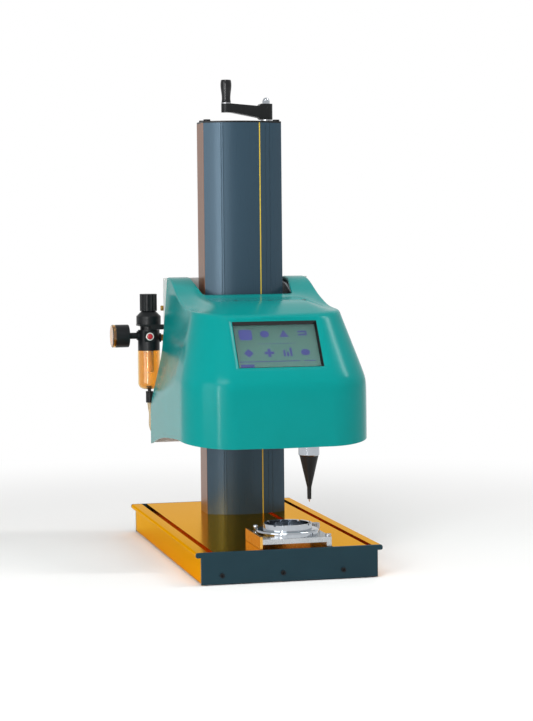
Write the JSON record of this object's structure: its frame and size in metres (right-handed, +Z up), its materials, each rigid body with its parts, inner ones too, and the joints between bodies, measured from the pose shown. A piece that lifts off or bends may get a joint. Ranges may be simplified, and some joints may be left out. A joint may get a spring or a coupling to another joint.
{
  "type": "impact engraver",
  "caption": "Bench dot-peen marking machine: slotted base, lift column with hand crank, and a teal marking head with stylus, screen and air regulator.",
  "frame": {"origin": "on the table plane, under the middle of the base, which is also the centre of the four bench bolt holes in the feet", "axes": "+X to the operator's right, +Y to the back, +Z up"},
  "size_m": [0.373, 0.5904, 0.8004],
  "materials": {
    "gold_anodised": "satin, gold-tinted anodised",
    "slate_paint": "satin powder coat",
    "black_screws": "black oxide",
    "foot_rubber": "matt",
    "slate_anodised": "satin, dark anodised",
    "yellow_plastic": "satin",
    "dark_plastic": "fine moulded texture",
    "brass": "turned",
    "ground_steel": "ground",
    "black_casting": "semi-gloss enamel",
    "black_gloss": "polished",
    "chrome": "bright",
    "teal_shell": "gloss, moulded",
    "glass": "clear",
    "amber_bowl": "amber tinted, clear",
    "lcd": "screen under glass",
    "board_green": "solder mask",
    "grey_paint": "satin powder coat",
    "milled_aluminium": "milled",
    "black_paint": "satin",
    "zinc_steel": "zinc plated",
    "pale_plastic": "satin",
    "red_plastic": "satin",
    "filter_felt": "sintered, matt",
    "clear_tube": "translucent"
  },
  "bodies": {
    "base": {"base_extrusion": "gold_anodised", "end_plates": "slate_paint", "frame_screws": "black_screws", "rubber_feet": "foot_rubber", "column_extrusion": "slate_anodised", "column_stripe": "yellow_plastic", "column_top_cap": "dark_plastic", "screw_bearings": "brass", "guide_rails": "ground_steel"},
    "crank": {"lead_screw": "ground_steel", "crank_arm": "black_casting", "crank_nut": "chrome", "grip_pin": "ground_steel"},
    "grip": {"handle_grip": "black_gloss"},
    "head": {"head_cover": "teal_shell", "cover_screws": "black_screws", "head_chassis": "milled_aluminium", "rear_plate": "grey_paint", "floor_tray": "milled_aluminium", "display_bezel": "dark_plastic", "screen_glass": "glass", "display_module": "lcd", "circuit_boards": "board_green", "lift_runners": "ground_steel", "lift_nut": "brass", "y_rails": "ground_steel", "y_motor": "black_paint", "regulator_body": "dark_plastic", "regulator_bracket": "black_paint", "filter_bowl": "amber_bowl", "filter_element": "filter_felt", "bowl_drain": "dark_plastic", "drain_tube": "clear_tube", "gauge_case": "dark_plastic", "gauge_lens": "amber_bowl", "button_rim": "pale_plastic", "air_fittings": "brass", "power_entry": "dark_plastic", "data_port": "dark_plastic"},
    "y_screw": {"y_drive_screw": "ground_steel"},
    "y_stage": {"y_carriage": "milled_aluminium", "x_rails": "ground_steel", "x_motor": "black_paint", "x_screw_brackets": "milled_aluminium"},
    "x_screw": {"x_drive_screw": "ground_steel"},
    "x_stage": {"x_carriage": "milled_aluminium", "stylus_barrel": "chrome", "stylus_cone": "black_paint", "return_spring": "ground_steel"},
    "punch": {"stylus_pin": "ground_steel"},
    "knob": {"regulator_knob": "dark_plastic"},
    "needle": {"gauge_needle": "red_plastic"},
    "button": {"release_button": "red_plastic"},
    "rocker": {"switch_rocker": "dark_plastic"},
    "fixture": {"fixture_bridge": "gold_anodised", "fixture_ring": "chrome", "stop_post": "chrome", "clamp_hardware": "ground_steel"},
    "turn_ring": {"turn_ring": "chrome"},
    "clamp_knob": {"clamp_knob": "ground_steel"}
  },
  "joints": [
    {"name": "crank_turn", "type": "hinge", "parent": "base", "child": "crank", "pos_m": [0.075, 0.15, 0.74], "axis": [0, 0, -1], "range_deg": [-2880, 17280]},
    {"name": "grip_turn", "type": "hinge", "parent": "crank", "child": "grip", "pos_m": [0.004, 0.15, 0.76], "axis": [0, 0, 1], "continuous": true},
    {"name": "head_slide", "type": "slide", "parent": "base", "child": "head", "axis": [0, 0, 1], "range_m": [-0.04, 0.24]},
    {"name": "y_screw_turn", "type": "hinge", "parent": "head", "child": "y_screw", "pos_m": [-0.071, -0.04, 0.266], "axis": [0, -1, 0], "range_deg": [0, 4320]},
    {"name": "y_slide", "type": "slide", "parent": "head", "child": "y_stage", "axis": [0, 1, 0], "range_m": [0, 0.06]},
    {"name": "x_screw_turn", "type": "hinge", "parent": "y_stage", "child": "x_screw", "pos_m": [0.026, -0.12, 0.2697], "axis": [-1, 0, 0], "range_deg": [-7200, 0]},
    {"name": "x_slide", "type": "slide", "parent": "y_stage", "child": "x_stage", "axis": [1, 0, 0], "range_m": [-0.1, 0]},
    {"name": "punch_stroke", "type": "slide", "parent": "x_stage", "child": "punch", "axis": [0, 0, -1], "range_m": [0, 0.004], "stiffness_N_per_m": 800, "springref_m": -0.002, "deforming": ["return_spring"]},
    {"name": "knob_turn", "type": "hinge", "parent": "head", "child": "knob", "pos_m": [-0.126, 0.212, 0.41], "axis": [0, 0, 1], "range_deg": [0, 1440]},
    {"name": "needle_sweep", "type": "hinge", "parent": "head", "child": "needle", "pos_m": [-0.187, 0.212, 0.358], "axis": [1, 0, 0], "range_deg": [0, 270], "stiffness_Nm_per_rad": 0.0002, "springref_deg": -11.46},
    {"name": "button_push", "type": "slide", "parent": "head", "child": "button", "axis": [0, 1, 0], "range_m": [0, 0.0015], "stiffness_N_per_m": 600},
    {"name": "switch_rock", "type": "hinge", "parent": "head", "child": "rocker", "pos_m": [0.127, 0.1935, 0.282], "axis": [1, 0, 0], "range_deg": [-24, 0]},
    {"name": "fixture_slide", "type": "slide", "parent": "base", "child": "fixture", "axis": [0, 1, 0], "range_m": [-0.0045, 0.15]},
    {"name": "ring_turn", "type": "hinge", "parent": "fixture", "child": "turn_ring", "pos_m": [0.01, -0.235, 0.075], "axis": [0, 0, 1], "continuous": true},
    {"name": "clamp_turn", "type": "hinge", "parent": "fixture", "child": "clamp_knob", "pos_m": [0.065, -0.196, 0.06], "axis": [0, 0, 1], "range_deg": [-360, 0]}
  ],
  "couplings": [
    {"joint": "head_slide", "follows": "crank_turn", "m_per_rad": 0.00079577},
    {"joint": "y_screw_turn", "follows": "y_slide", "rad_per_m": 1256.6},
    {"joint": "x_screw_turn", "follows": "x_slide", "rad_per_m": 1256.6}
  ]
}
